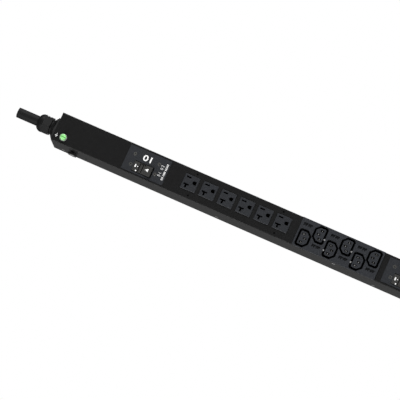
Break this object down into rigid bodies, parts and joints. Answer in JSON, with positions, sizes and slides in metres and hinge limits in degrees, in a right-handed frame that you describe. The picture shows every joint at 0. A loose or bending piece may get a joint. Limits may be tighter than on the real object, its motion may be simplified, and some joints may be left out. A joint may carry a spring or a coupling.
{
  "type": "rack power distribution unit",
  "caption": "Slim upright power strip for an equipment rack: long black steel housing with breaker rockers, blade outlets, coupler outlets and a cord gland at one end.",
  "frame": {"origin": "middle of the housing's back edge at the cord end", "axes": "+Z along the length towards the cord, -Y the way the outlets face, -X the side with the buttons"},
  "size_m": [0.0555, 0.0627, 1.2348],
  "materials": {
    "housing_paint": "fine textured matte black powder coat",
    "plate_paint": "satin dark grey paint",
    "black_steel": "blackened steel, satin",
    "zinc_steel": "bright zinc plate",
    "earth_green": "green enamel, semi gloss",
    "gland_nylon": "moulded nylon",
    "cord_rubber": "matte jacket",
    "seal_rubber": "soft matte rubber",
    "core_insulation": "extruded insulation in four colours",
    "copper": "bare copper strands",
    "terminal_plastic": "moulded natural nylon",
    "breaker_plastic": "moulded thermoset",
    "rocker_plastic": "moulded warm black",
    "outlet_plastic": "moulded, fine grain",
    "coupler_plastic": "moulded, fine grain",
    "contact_brass": "stamped spring brass",
    "board_laminate": "green solder mask",
    "loom_tape": "wrapped black tape",
    "clip_nylon": "natural nylon"
  },
  "bodies": {
    "housing": {"front_channel": "housing_paint", "rear_cover": "housing_paint", "inlet_end_plate": "housing_paint", "tail_end_plate": "housing_paint", "cover_screws": "black_steel", "block_screws": "zinc_steel", "mounting_button_upper": "black_steel", "mounting_button_lower": "black_steel", "button_screws": "zinc_steel", "button_nuts": "zinc_steel", "bracket_inserts": "zinc_steel", "gland_body": "gland_nylon", "gland_lock_nut": "gland_nylon", "gland_cap_nut": "gland_nylon", "gland_seal": "seal_rubber", "cord_sheath": "cord_rubber", "cord_cores": "core_insulation", "cord_conductors": "copper", "terminal_block": "terminal_plastic", "terminal_screws": "zinc_steel", "earth_screw": "earth_green", "earth_washer": "zinc_steel", "earth_nut": "zinc_steel", "breaker_screws": "black_steel", "board_standoffs": "black_steel", "board_screws": "zinc_steel", "coupler_rivets": "zinc_steel", "wiring_loom": "loom_tape", "loom_clips": "clip_nylon", "breaker_plate_1": "plate_paint", "breaker_case_1": "breaker_plastic", "breaker_pivot_1": "zinc_steel", "outlet_board_1": "board_laminate", "outlet_clips_1": "contact_brass", "coupler_block_1": "coupler_plastic", "coupler_back_1": "coupler_plastic", "coupler_clips_1": "contact_brass", "breaker_plate_2": "plate_paint", "breaker_case_2": "breaker_plastic", "breaker_pivot_2": "zinc_steel", "outlet_board_2": "board_laminate", "outlet_clips_2": "contact_brass", "coupler_block_2": "coupler_plastic", "coupler_back_2": "coupler_plastic", "coupler_clips_2": "contact_brass", "outlet_01": "outlet_plastic", "outlet_02": "outlet_plastic", "outlet_03": "outlet_plastic", "outlet_04": "outlet_plastic", "outlet_05": "outlet_plastic", "outlet_06": "outlet_plastic", "outlet_07": "outlet_plastic", "outlet_08": "outlet_plastic", "outlet_09": "outlet_plastic", "outlet_10": "outlet_plastic", "outlet_11": "outlet_plastic", "outlet_12": "outlet_plastic"},
    "rocker_1": {"breaker_rocker_1": "rocker_plastic"},
    "rocker_2": {"breaker_rocker_2": "rocker_plastic"}
  },
  "joints": [
    {"name": "rocker_1_switch", "type": "hinge", "parent": "housing", "child": "rocker_1", "pos_m": [-0.0094, -0.0502, -0.1601], "axis": [1, 0, 0], "range_deg": [0, 11]},
    {"name": "rocker_2_switch", "type": "hinge", "parent": "housing", "child": "rocker_2", "pos_m": [-0.0094, -0.0502, -0.6218], "axis": [1, 0, 0], "range_deg": [0, 11]}
  ]
}
